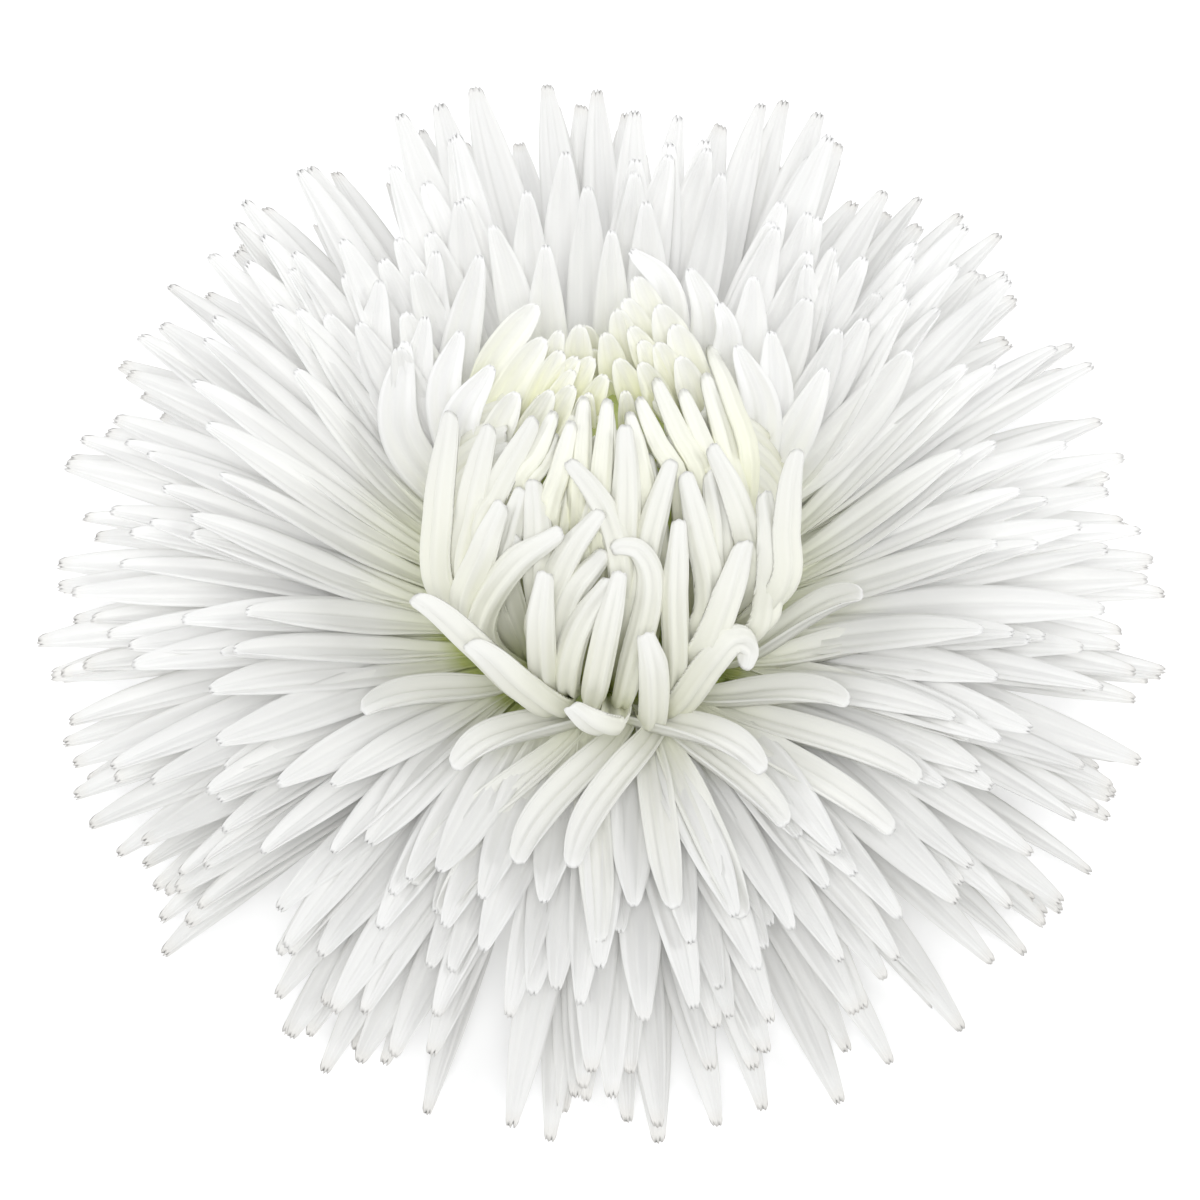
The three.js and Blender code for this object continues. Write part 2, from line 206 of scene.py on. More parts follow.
# The same for the long pale florets of the heart, in front of its pit.
HEART_FINGERS = [
    [(500, 500, 18.6), (528, 450, 18.9), (547, 410, 18.2)],
    [(512, 505, 17.8), (535, 462, 18.0), (549, 432, 17.4)],
    [(537, 530, 18.4), (550, 473, 18.8), (565, 420, 18.4)],
    [(571, 520, 17.2), (575, 450, 17.6), (578, 396, 17.2)],
    [(592, 560, 18.6), (593, 490, 19.2), (601, 398, 18.5)],
    [(606, 540, 17.2), (604, 470, 17.6), (603, 408, 17.2)],
    [(640, 520, 17.6), (632, 450, 17.9), (623, 411, 17.2)],
    [(680, 500, 17.8), (655, 440, 18.2), (634, 396, 17.5)],
    [(705, 500, 18.8), (676, 430, 19.1), (651, 377, 18.3)],
    [(722, 510, 19.6), (700, 440, 19.9), (678, 388, 19.2)],
    [(738, 540, 20.4), (725, 450, 20.7), (701, 372, 20.0)],
    [(700, 540, 17.4), (682, 470, 17.8), (664, 432, 17.3)],
    [(545, 560, 17.0), (556, 500, 17.3), (567, 452, 16.9)],
    [(748, 480, 21.0), (730, 400, 21.3), (706, 345, 20.4)],
    [(575, 580, 17.4), (582, 520, 17.8), (588, 462, 17.2)],
    [(655, 560, 17.4), (648, 500, 17.8), (642, 452, 17.2)],
]
# Heights over the rim of the tips that the photo shows on these pixel rows. They are level near the
# middle, and lower by this much for each pixel that a tip lies further aside. A floret there crosses
# these pixels while it drops by a millimetre.
SEEN = dict(
    rows=(150, 185, 250, 300, 350, 390), heights=(38.5, 37.5, 36.0, 35.0, 32.5, 31.0),
    level_pixels=40, drop_per_pixel=0.012, pixels_per_drop=8.7, spread=dict(width=0.05, roll=6, twist=8))
# Where the photo shows florets round the pit of the heart and up the wall behind it: pixels of the
# tip and of a place lower down, and the width in millimetres.
HEART_TIPS = [
    (572, 356, 552, 388, 3.8), (556, 350, 538, 388, 4.2), (540, 338, 514, 374, 4.8),
    (555, 330, 547, 356, 3.8), (574, 324, 572, 356, 4.6), (588, 357, 568, 390, 4.2),
    (569, 370, 554, 394, 3.4), (600, 374, 586, 402, 4.0), (578, 395, 573, 430, 3.2),
    (546, 390, 520, 436, 4.2), (568, 385, 548, 420, 4.0), (583, 392, 581, 412, 3.0),
    (611, 358, 628, 398, 4.8), (634, 362, 650, 394, 4.2), (618, 390, 622, 420, 3.4),
    (598, 332, 607, 374, 4.6), (611, 308, 622, 354, 4.8), (618, 298, 640, 350, 4.6),
    (628, 276, 650, 330, 4.8), (624, 326, 644, 364, 4.2), (634, 340, 650, 374, 4.2),
    (650, 342, 668, 386, 4.6), (652, 304, 674, 360, 5.4), (666, 324, 692, 400, 5.6),
    (512, 392, 484, 450, 4.8), (672, 356, 694, 420, 5.0), (533, 305, 497, 350, 4.6),
]
WALL_TIPS = [
    (581, 185, 581, 340, 6.0), (606, 229, 606, 340, 5.0), (540, 244, 542, 333, 5.8),
    (474, 254, 453, 397, 5.6), (485, 224, 510, 311, 5.6), (419, 315, 414, 426, 5.2),
    (374, 279, 381, 390, 5.8), (487, 365, 453, 436, 5.8), (624, 249, 664, 311, 5.6),
    (717, 172, 696, 283, 5.4), (683, 267, 703, 340, 5.8), (712, 301, 721, 354, 5.6),
    (731, 344, 756, 426, 6.0), (664, 154, 642, 265, 5.8), (703, 147, 674, 258, 5.6),
    (803, 263, 789, 354, 5.8), (821, 367, 789, 436, 5.8), (771, 226, 746, 301, 6.0),
    (803, 211, 775, 290, 5.8), (452, 200, 470, 300, 5.8), (430, 250, 437, 350, 5.6),
    (560, 150, 560, 290, 5.8), (520, 190, 528, 300, 5.8), (640, 200, 640, 310, 5.8),
    (748, 275, 738, 360, 5.8), (765, 330, 765, 420, 5.6), (400, 340, 398, 440, 5.6),
    (455, 330, 440, 410, 5.6),
]
# Crown florets that lie outward: azimuth of root and tip, radius of the tip and its height over the
# rim, and the slopes that they leave and arrive with.
OUTWARD_CROWN = [
    (-42, -21, 27.4, 17, 14, 30), (-38, -20, 37.6, 15, 16, 18), (-62, -41, 31.5, 14, 14, 14),
    (-88, -62, 32, 13.5, 20, -2), (-74, -63, 37.4, 12, 16, 8), (-92, -118, 31.5, 13.5, 20, 4),
    (-127, -139, 32, 13, 16, 10), (-79, -103, 37.8, 11, 18, 4), (-66, -95, 37.9, 12, 20, 2),
    (-97, -91, 44.1, 9, 18, 4), (-77, -81, 41.3, 9.5, 18, 4), (-75, -73, 43.7, 9.5, 18, 4),
    (-62, -51, 43.5, 11.5, 18, 8), (-35, -34, 42.9, 13, 16, 10), (-58, -43, 41.6, 12, 16, 8),
    (-95, -116, 42.5, 9.5, 18, 6), (-90, -111, 43.9, 8.5, 18, 4),
]
# Florets that close the sides of the ball, behind the ones that the photo shows: their azimuths, and
# the angles from the top of the ball and the distances from its middle that they climb through.
FLANK = dict(
    azimuths=(-32, -21, -10, 1, 12, 24, 36, 144, 156, 168, 179, 190, 201, 212),
    angles=(85, 38), radii=(17.8, 17.0), places=6)


def scatter(seed, trait):
    """A repeatable scatter between -1 and 1."""
    phase = seed * SCATTER["seed_step"] + CHANNELS[trait] * SCATTER["channel_step"] + SCATTER["start"]
    wave = math.sin(phase) * SCATTER["stretch"]
    return 2.0 * (wave - math.floor(wave)) - 1.0


def varied(amounts, seed):
    """How far each trait of one floret is scattered."""
    return {trait: amount * scatter(seed, trait) for trait, amount in amounts.items()}


def lerp(pair, share):
    """The value at a share of the way from the first of a pair to the second."""
    return pair[0] + (pair[1] - pair[0]) * share


def smooth(low, high, value):
    """0 up to the low value and 1 from the high one, with a smooth rise between them."""
    share = np.clip((value - low) / (high - low), 0.0, 1.0)
    return share * share * (3.0 - 2.0 * share)


def around(azimuth, radius, height, centre=(0.0, 0.0)):
    turn = math.radians(azimuth)
    return np.array([centre[0] + radius * math.cos(turn), centre[1] + radius * math.sin(turn), height])


def heading(azimuth, slope):
    """The direction that an azimuth and a slope over the horizon give."""
    return around(azimuth, math.cos(math.radians(slope)), math.sin(math.radians(slope)))


def azimuth_of(point, centre=(0.0, 0.0)):
    return math.degrees(math.atan2(point[1] - centre[1], point[0] - centre[0]))


def on_ball(azimuth, angle, radius):
    tilt = math.radians(angle)
    return around(azimuth, radius * math.sin(tilt), BALL_HEIGHT + radius * math.cos(tilt), BALL_OFFSET)


def camera_axes():
    """The place of the camera, and its directions backward and up."""
    tilt = math.radians(CAMERA["elevation"])
    back = np.array([0.0, -math.cos(tilt), math.sin(tilt)])
    up = np.array([0.0, math.sin(tilt), math.cos(tilt)])
    return np.array([0.0, 0.0, RIM_HEIGHT]) + back * CAMERA["distance"], back, up


# The upright florets, and those that the photo shows round the pit of the heart and behind it, turn
# their faces to the side that the photo was taken from.
PHOTO_SIDE = camera_axes()[1]


def sight(x, y):
    """The line from the camera through a pixel of the photo."""
    eye, back, up = camera_axes()
    across, down = (np.array([x, y]) - CAMERA["centre"]) / CAMERA["pixels_per_mm"]
    ray = np.array([across, 0.0, 0.0]) - up * down - back * CAMERA["distance"]
    return eye, ray / np.linalg.norm(ray)


def seen_at_height(x, y, height):
    eye, ray = sight(x, y)
    return eye + ray * (height - eye[2]) / ray[2]


def seen_on_ball(x, y, radius):
    eye, ray = sight(x, y)
    offset = eye - BALL_MIDDLE
    nearest = -np.dot(offset, ray)
    half_chord = math.sqrt(max(0.0, radius ** 2 - np.dot(offset, offset) + nearest ** 2))
    return eye + ray * (nearest - half_chord)


def through(points):
    """A smooth line through points."""
    ends = [2 * points[0] - points[1]] + list(points) + [2 * points[-1] - points[-2]]
    knots = np.array(ends)
    place = np.linspace(0, len(points) - 1, LINE_POINTS)
    row = np.minimum(place.astype(int), len(points) - 2)
    u = (place - row)[:, None]
    a, b, c, d = (knots[row + k] for k in range(4))
    return 0.5 * (2 * b + (c - a) * u + (2 * a - 5 * b + 4 * c - d) * u ** 2
                  + (3 * b - a - 3 * c + d) * u ** 3)


def sweep(root, root_azimuth, leave, tip, tip_azimuth, arrive):
    """A line that leaves its root and meets its tip at the slopes given."""
    handle = np.linalg.norm(tip - root) / 3
    first = root + heading(root_azimuth, leave) * handle
    second = tip - heading(tip_azimuth, arrive) * handle
    t = np.linspace(0, 1, LINE_POINTS)[:, None]
    return ((1 - t) ** 3 * root + 3 * t * (1 - t) ** 2 * first
            + 3 * t ** 2 * (1 - t) * second + t ** 3 * tip)


def climb(root, azimuth, angles, radii):
    """A line from a root that climbs the side of the ball."""
    shares = np.linspace(0, 1, FLANK["places"])
    return through([root] + [on_ball(azimuth, lerp(angles, s), lerp(radii, s * s)) for s in shares])


def new_floret(line, azimuths, seed, vary, **look):
    """A floret along a line, with what is needed to draw it."""
    plain = dict(facing=None, yellow=0.0, dull=0.0, dry=0.0)
    return dict(plain, line=line, azimuths=azimuths, seed=seed, roll=(vary["roll"], vary["twist"]), **look)


def parted(azimuth, depth):
    """Push an azimuth away from the partings."""
    for middle, half in PARTINGS:
        offset = (azimuth - middle + 180) % 360 - 180
        if abs(offset) < half:
            side = 1 if offset >= 0 else -1
            azimuth += side * depth * PARTING["push"] * (half - abs(offset))
    return azimuth


def is_filler(number, rank, back):
    """Whether an outer floret is one of the short ones at the back."""
    if back <= FILLER["back"] or rank <= FILLER["lowest_rank"]:
        return False
    return number % 3 == 0 if rank < FILLER["dense_rank"] else number % 3 > 0


def outer_tip(number, rank, azimuth, tip_azimuth, vary):
    """The tip of an outer floret: its radius and its place."""
    across, backward = math.cos(math.radians(azimuth)), math.sin(math.radians(azimuth))
    back = 0.5 + 0.5 * backward
    filler = is_filler(number, rank, back)
    steepest = lerp(OUTER["steepest_slope_by_side"], back) * (FILLER["slope"] if filler else 1.0)
    slope = math.radians(lerp((OUTER["lowest_slope"], steepest), rank) + vary["rise"])

    longest = OUTER["longest_reach"] - OUTER["front_cut"] * max(0.0, -backward)
    longest -= OUTER["right_cut"] * max(0.0, across)
    shortening = max(0.0, (rank - OUTER["shortening_rank"]) / (1 - OUTER["shortening_rank"]))
    shortening **= lerp(OUTER["shortening_by_side"], back)
    reach = lerp((longest, lerp(OUTER["shortest_reach_by_side"], back)), shortening)
    reach *= (FILLER["reach"] if filler else 1.0) + vary["reach"]

    radius = min(reach * math.cos(slope), LIMIT_RADIUS)
    height = max(RIM_HEIGHT + reach * math.sin(slope), OUTER["tip_clearance"])
    return radius, around(tip_azimuth, radius, min(height, LIMIT_HEIGHT))


def outer_floret(number):
    rank = (number + 0.5) / OUTER["count"]
    vary = varied(OUTER["spread"], number)
    azimuth = number * GOLDEN_ANGLE + vary["azimuth"]
    tip_azimuth = parted(azimuth + vary["tip_azimuth"], 1 - smooth(*PARTING["ranks"], rank))
    tip_radius, tip = outer_tip(number, rank, azimuth, tip_azimuth, vary)
    if number < DEEP_ROOTS["count"]:
        root_radius, root_height = DEEP_ROOTS["radius"], DEEP_ROOTS["height"]
    else:
        root_radius, root_height = OUTER["root_radius"], lerp(OUTER["root_heights"], rank)
    root = around(azimuth, root_radius, RIM_HEIGHT + root_height)

    chord = math.degrees(math.atan2(tip[2] - root[2], tip_radius - root_radius))
    leave = min(chord + OUTER["arch"] + vary["leave"], OUTER["steepest_start"])
    catch_up = (chord + OUTER["arch"] - leave) / 3
    arrive = chord - OUTER["arch"] + catch_up + vary["arrive"]
    line = sweep(root, azimuth, leave, tip, tip_azimuth, arrive)

    backward = math.sin(math.radians(azimuth))
    widening = OUTER["back_widening"] * (0.5 + 0.5 * backward)
    width = lerp(OUTER["width"], rank) * (1 + widening + vary["width"])
    tip_curl = lerp(OUTER["tip_curl"], rank) + vary["curl"]
    # Painted shade: some on every outer floret, more in front, and behind more on the lower ranks than on
    # the upper ones.
    dull_behind = lerp(PAINTED_SHADE["behind"], smooth(*PAINTED_SHADE["ranks_behind"], rank))
    dull = PAINTED_SHADE["everywhere"] + PAINTED_SHADE["front"] * max(0.0, -backward) + max(0.0, backward) * dull_behind
    # The lower ranks get painted shade along their edges and at their tips.
    return new_floret(
        line, (azimuth, tip_azimuth), number, vary, width=width, curl=(OUTER["root_curl"], tip_curl),
        dry=1 - smooth(*TIP_AND_EDGE_SHADE_RANKS, rank), dull=dull, **OUTER["look"])


def upright_root(azimuth):
    """The root on the rim of a floret that stands at an azimuth round the heart."""
    foot = around(azimuth, UPRIGHT["root_radius"], 0, HEART_AXIS)
    return around(azimuth_of(foot), UPRIGHT["root_radius"], RIM_HEIGHT + UPRIGHT["root_height"])


def upright_floret(number):
    rank = (number + 0.5) / UPRIGHT["count"]
    seed = SEEDS["upright"] + number
    vary = varied(UPRIGHT["spread"], seed)
    azimuth = lerp(UPRIGHT["azimuths"][number % 2], number * GOLDEN_RATIO % 1)
    back = math.sin(math.radians(azimuth))
    radius = math.sqrt(lerp(np.square(UPRIGHT["radii"]), rank)) + vary["reach"]
    outward = (radius - UPRIGHT["nominal_radius"]) / UPRIGHT["nominal_radius"]
    height = HEART_HEIGHT + UPRIGHT["over_heart"]
    height += back * (UPRIGHT["back_rise"] + UPRIGHT["outward_rise"] * outward)
    height -= (1 - back) * UPRIGHT["outward_rise"] * outward
    height += vary["rise"]
    tip = around(azimuth + vary["tip_azimuth"], radius, min(height, LIMIT_HEIGHT), HEART_AXIS)
    root = upright_root(azimuth)

    chord = math.degrees(math.atan2(tip[2] - root[2], np.dot(tip - root, heading(azimuth, 0))))
    lean_in = UPRIGHT["lean"] * (1 - UPRIGHT["outward_lean"] * outward)
    arrive = 90 + lean_in - UPRIGHT["lean"] * back + vary["upright_arrive"]
    flattest, steepest = UPRIGHT["slopes_at_root"]
    leave = max(flattest, min(steepest, 2 * chord - arrive))
    return new_floret(
        sweep(root, azimuth, leave, tip, azimuth, arrive), (azimuth, azimuth), seed, vary, facing=PHOTO_SIDE,
        width=UPRIGHT["width"] * (1 + vary["width"]), **UPRIGHT["look"])


def seen_places(x, y, low_x, low_y):
    """The tip and a lower place of a floret that the photo shows, and that leans back a little."""
    aside = max(0, abs(x - CAMERA["centre"][0]) - SEEN["level_pixels"])
    height = np.interp(y, SEEN["rows"], SEEN["heights"]) - SEEN["drop_per_pixel"] * aside
    tip = seen_at_height(x, y, RIM_HEIGHT + height)
    low = seen_at_height(low_x, low_y, RIM_HEIGHT + height - (low_y - y) / SEEN["pixels_per_drop"])
    return tip, low


def seen_floret(line, width, narrowing, seed, **look):
    vary = varied(SEEN["spread"], seed)
    width = width * (1 + vary["width"]) * narrowing
    return new_floret(line, (0.0, 0.0), seed, vary, facing=PHOTO_SIDE, width=width, **look)


def wall_floret(number):
    """A floret up the wall behind the heart."""
    *pixels, width = WALL_TIPS[number]
    tip, low = seen_places(*pixels)
    line = through([upright_root(azimuth_of(low, HEART_AXIS)), low, tip])
    return seen_floret(line, width, WALL["narrowing"], SEEDS["wall"] + number, **WALL["look"])


def heart_tip_floret(number):
    """A floret round the pit of the heart, yellower towards its middle."""
    *pixels, width = HEART_TIPS[number]
    tip, low = seen_places(*pixels)
    down = (low - tip) / np.linalg.norm(low - tip)
    root = tip + down * HEART["length"] - np.array([0, 0, HEART_TIP["root_drop"]])
    off_axis = np.linalg.norm(tip[:2] - HEART_AXIS)
    yellow = max(HEART_TIP["least_yellow"], 1 - off_axis / HEART_TIP["yellow_radius"])
    return seen_floret(through([root, low, tip]), width, HEART_TIP["narrowing"], SEEDS["heart_tip"] + number,
                       yellow=yellow, **HEART_TIP["look"])


def crown_root(azimuth):
    return around(azimuth, CROWN["root_radius"], RIM_HEIGHT + CROWN["root_height"])


def crown_floret(line, azimuths, seed, width, **look):
    vary = varied(CROWN["spread"], seed)
    return new_floret(line, azimuths, seed, vary, width=width * (1 + vary["width"]), **look)


def finger(places, seed, look):
    """A crown floret through the places that the photo shows."""
    points = [seen_on_ball(*place) for place in places]
    azimuths = [azimuth_of(point, BALL_OFFSET) for point in points]
    line = through([crown_root(azimuths[0])] + points)
    return crown_floret(line, (azimuths[0], azimuths[-1]), seed, **look)


def crown_florets():
    florets = []
    for places in FINGERS:
        florets.append(finger(places, SEEDS["finger"] + len(florets), CROWN["look"]))
    for root, tip, radius, height, leave, arrive in OUTWARD_CROWN:
        line = sweep(crown_root(root), root, leave, around(tip, radius, RIM_HEIGHT + height), tip, arrive)
        florets.append(crown_floret(line, (root, tip), SEEDS["crown"] + len(florets), **OUTWARD_LOOK))
    for azimuth in FLANK["azimuths"]:
        line = climb(crown_root(azimuth), azimuth, FLANK["angles"], FLANK["radii"])
        florets.append(crown_floret(line, (azimuth, azimuth), SEEDS["crown"] + len(florets), **FLANK_LOOK))
    return florets


def heart_floret(number):
    """A short floret that leans in over the pit of the heart, or stands up behind it."""
    rank = (number + 0.5) / HEART["count"]
    vary = varied(HEART["spread"], number)
    azimuth = number * GOLDEN_ANGLE + vary["heart_azimuth"]
    side = math.sin(math.radians(azimuth))
    back, front = max(0.0, side), max(0.0, -side)
    radius = HEART["radius"] * math.sqrt(1 - rank) + vary["heart_radius"]
    outward = max(0.0, (radius - HEART["pit_radius"]) / (HEART["radius"] - HEART["pit_radius"]))
    over_pit = HEART["pit_depth"] * smooth(0, HEART["pit_radius"], radius)
    height = HEART_HEIGHT + over_pit + vary["heart_height"]
    height += outward * (HEART["back_rise"] * back - HEART["front_drop"] * front - HEART["outer_drop"])
    lean = HEART["lean"] + HEART["back_lean"] * back + HEART["front_lean"] * front
    lean *= min(1.0, HEART["middle_lean"] + radius / HEART["full_lean_radius"])
    lean += vary["heart_lean"]
    leave, chord, arrive = (90 + share * lean for share in HEART["slopes_by_lean"])
    tip = around(azimuth, radius, height, HEART_AXIS)
    root = tip - heading(azimuth, chord) * HEART["length"]
    return new_floret(
        sweep(root, azimuth, leave, tip, azimuth, arrive), (azimuth, azimuth + vary["heart_turn"]),
        SEEDS["heart"] + number, vary, width=lerp(HEART["width"], rank), yellow=lerp(HEART["yellow"], rank),
        **HEART["look"])


def heart_florets():
    florets = [heart_floret(number) for number in range(HEART["count"])]
    florets += [heart_tip_floret(number) for number in range(len(HEART_TIPS))]
    first_seed = SEEDS["heart_tip"] + len(HEART_TIPS)
    florets += [finger(places, first_seed + k, HEART_FINGER_LOOK) for k, places in enumerate(HEART_FINGERS)]
    return florets


def bract(row, place):
    """A short, wide floret that hugs the cup."""
    rise = row / (BRACTS["rows"] - 1)
    seed = SEEDS["bract"] + row * BRACTS["per_row"] + place
    vary = varied(BRACTS["spread"], seed)
    azimuth = (place + 0.5 * (row % 2)) * 360 / BRACTS["per_row"] + vary["bract_azimuth"]
    root = around(azimuth, lerp(BRACTS["root_radius"], rise), CUP_FOOT + lerp(BRACTS["root_height"], rise))
    tip_radius = lerp(BRACTS["tip_radius"], rise) + vary["bract_radius"]
    tip_heights = (CUP_FOOT + BRACTS["tip_over_foot"], RIM_HEIGHT - BRACTS["tip_under_rim"])
    tip = around(azimuth, tip_radius, lerp(tip_heights, rise))
    line = sweep(root, azimuth, lerp(BRACTS["leave"], rise), tip, azimuth, lerp(BRACTS["arrive"], rise))
    turn = dict(roll=vary["bract_roll"], twist=0.0)
    return new_floret(line, (azimuth, azimuth), seed, turn, **BRACTS["look"])


def along(floret, shares):
    """Points, sideways and inward directions at shares of a floret's line."""
    line = floret["line"]
    steps = np.linalg.norm(np.diff(line, axis=0), axis=1)
    run = np.concatenate([[0.0], np.cumsum(steps)])
    place = shares * run[-1]
    point = np.stack([np.interp(place, run, line[:, k]) for k in range(3)], -1)
    slope = np.gradient(line, run, axis=0)
    tangent = np.stack([np.interp(place, run, slope[:, k]) for k in range(3)], -1)
    tangent /= np.linalg.norm(tangent, axis=-1, keepdims=True)
    turn = np.radians(lerp(floret["azimuths"], shares))
    side = np.stack([-np.sin(turn), np.cos(turn), 0 * turn], -1)
    runs_sideways = np.max(np.abs(np.sum(side * tangent, -1))) > RUNS_SIDEWAYS
    if floret["facing"] is not None:
        side = np.cross(floret["facing"], tangent)
    elif runs_sideways:
        # The floret faces the middle of the ball instead.
        side = np.cross(BALL_MIDDLE - point, tangent)
    side -= tangent * np.sum(side * tangent, -1, keepdims=True)
    side /= np.linalg.norm(side, axis=-1, keepdims=True)
    inward = np.cross(tangent, side)
    angle = np.radians(floret["roll"][0] + floret["roll"][1] * shares)[..., None]
    return (point, side * np.cos(angle) + inward * np.sin(angle),
            inward * np.cos(angle) - side * np.sin(angle))


def crowded(places, crowding):
    return (1 - crowding) * places + crowding * np.sin(places * math.pi / 2)


def toothed_end(floret, q):
    """Where a floret ends across its width: a rounded tip with two small teeth."""
    length = np.sum(np.linalg.norm(np.diff(floret["line"], axis=0), axis=1))
    rounding = FORM["rounding"] * floret["tip_width"] * floret["width"] / length
    end = 1 - rounding * (1 - np.sqrt(np.clip(1 - (FORM["roundness"] * np.abs(q)) ** 2, 0, 1)))
    shift = FORM["tooth_shift"] * scatter(floret["seed"], "tooth_place")
    teeth = sum(depth * np.exp(-((q - place - shift) / FORM["tooth_width"]) ** 2)
                for place, depth in FORM["teeth"])
    depth = floret["teeth"] * (1 + FORM["tooth_variety"] * scatter(floret["seed"], "tooth_depth"))
    return end - depth * teeth / length


def channel(floret, q, s):
    """The section of a floret: sideways and upward offsets, and thickness."""
    tip_width = floret["tip_width"]
    taper = np.clip((s - FORM["taper_start"]) / (1 - FORM["taper_start"]), 0, 1)
    taper = taper ** (FORM["blunt_taper"] if tip_width > FORM["blunt_tip"] else FORM["taper"])
    spreading = FORM["root_width"] + (1 - FORM["root_width"]) * smooth(0.0, FORM["widest"], s)
    width = floret["width"] * spreading * (1 - (1 - tip_width) * taper)
    closing = FORM["closing"] * smooth(FORM["closing_start"], 1.0, s)
    curl = np.radians(lerp(floret["curl"], smooth(0.0, FORM["opened"], s)) + closing)
    angle = q * curl / 2
    ribs = np.cos(3 * math.pi * q) * (1 - np.abs(q) ** 4) * smooth(*FORM["ribs_rise"], s)
    ribs = ribs * (1 - FORM["rib_loss"] * smooth(*FORM["ribs_fade"], s))
    up = width / curl * (1 - np.cos(angle)) + FORM["rib_height"] * width * ribs
    thickness = floret["thickness"] * (1 - FORM["edge_thinning"] * np.abs(q) ** 3)
    thickness = thickness * (1 - FORM["tip_thinning"] * smooth(FORM["thinning_start"], 1.0, s))
    thickness[0, :] = thickness[-1, :] = thickness[:, -1] = 0.0
    return width / curl * np.sin(angle), up, thickness


def floret_surface(floret, across, lengthwise):
    """One floret as a thin closed channel: its points, faces and surface coordinates."""
    q = crowded(np.linspace(-1, 1, across + 1), CROWDING["across"])
    step = crowded(np.linspace(0, 1, lengthwise + 1), CROWDING["lengthwise"])
    s = toothed_end(floret, q)[:, None] * step[None, :]
    q = q[:, None]
    point, side, inward = along(floret, s)
    sideways, up, thickness = channel(floret, q, s)
    middle = point + side * sideways[..., None]
    inner = middle + inward * (up + thickness / 2)[..., None]
    outer = middle + inward * (up - thickness / 2)[..., None]

    # The two skins share their points along the edges and the tip, and a face closes the root.
    rows, cols = across + 1, lengthwise + 1
    a = np.arange(rows * cols).reshape(rows, cols)
    b = a.copy()
    b[1:-1, :-1] = rows * cols + np.arange((rows - 2) * (cols - 1)).reshape(rows - 2, cols - 1)
    points = np.concatenate([inner.reshape(-1, 3), outer[1:-1, :-1].reshape(-1, 3)])
    faces = np.concatenate([
        np.stack([a[:-1, :-1], a[1:, :-1], a[1:, 1:], a[:-1, 1:]], -1).reshape(-1, 4),
        np.stack([b[:-1, :-1], b[:-1, 1:], b[1:, 1:], b[1:, :-1]], -1).reshape(-1, 4)]).tolist()
    faces.append([int(k) for k in [*b[:, 0], *a[-2:0:-1, 0]]])
    place = np.stack([q + 0 * s, s, np.zeros_like(s)], -1)
    surface = np.concatenate([place.reshape(-1, 3), place[1:-1, :-1].reshape(-1, 3)])
    surface[:, 2] = floret["yellow"]
    return points, faces, surface


def add_piece(name, points, faces, attributes, material, node_names):
    """A mesh object in metres, on the axis of the bloom, riding on the body."""
    mesh = bpy.data.meshes.new(name)
    placed = np.asarray(points) + np.array([AXIS[0], AXIS[1], 0.0])
    placed[:, 2] = np.maximum(placed[:, 2], FLOOR_GAP)
    mesh.from_pydata((placed * MM).tolist(), [], faces)
    for label, kind, values in attributes:
        layer = mesh.attributes.new(label, kind, "POINT")
        field = "vector" if kind == "FLOAT_VECTOR" else "value"
        layer.data.foreach_set(field, np.asarray(values, np.float32).ravel())
    mesh.materials.append(material)
    mesh.shade_smooth()
    piece = bpy.data.objects.new(name, mesh)
    bpy.context.scene.collection.objects.link(piece)
    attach(piece, "root")
    if node_names:
        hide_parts(*node_names)


def add_florets(name, florets, across, lengthwise, material, node_names, slot):
    """Florets as one piece, with what their material reads at each point."""
    points, faces, surface, shade_and_tone, dry = [], [], [], [], []
    count = 0
    for floret in florets:
        part, part_faces, place = floret_surface(floret, across, lengthwise)
        points.append(part)
        surface.append(place)
        # Painted shade of each floret, with a tone that differs at random added on top.
        own_shade_and_tone = floret["dull"] + TONE["middle"] + TONE["spread"] * scatter(floret["seed"], "shade_and_tone")
        shade_and_tone.append(np.full(len(part), own_shade_and_tone))
        dry.append(np.full(len(part), floret["dry"]))
        faces += [[count + k for k in face] for face in part_faces]
        count += len(part)
    attributes = [
        ("petal", "FLOAT_VECTOR", np.concatenate(surface)), ("shade_and_tone", "FLOAT", np.concatenate(shade_and_tone)),
        ("dry", "FLOAT", np.concatenate(dry))]
    add_piece(name, np.concatenate(points), faces, attributes, material, node_names)


def turned(profile, sides, centre=(0.0, 0.0), ripple=0.0, lobes=0):
    """A closed turned body from a profile of radii and heights that starts and ends on the axis."""
    inner = profile[1:-1]
    points = [(*centre, profile[0][1])]
    surface = [(0.0, 0.0, 0.0)]
    for row, (radius, height) in enumerate(inner):
        for k in range(sides):
            turn = 2 * math.pi * k / sides
            r = radius * (1 + ripple * math.cos(lobes * turn))
            points.append((centre[0] + r * math.cos(turn), centre[1] + r * math.sin(turn), height))
            surface.append((0.0, row / (len(inner) - 1), 0.0))
    points.append((*centre, profile[-1][1]))
    surface.append((0.0, 1.0, 0.0))
    last = len(points) - 1
    faces = []
    for k in range(sides):
        after = (k + 1) % sides
        faces.append([0, 1 + after, 1 + k])
        for row in range(len(inner) - 1):
            low, high = 1 + row * sides, 1 + (row + 1) * sides
            faces.append([low + k, low + after, high + after, high + k])
        top = 1 + (len(inner) - 1) * sides
        faces.append([top + k, top + after, last])
    return points, faces, surface


def add_turned(name, body, material, node_names):
    points, faces, surface = body
    add_piece(name, points, faces, [("petal", "FLOAT_VECTOR", surface)], material, node_names)


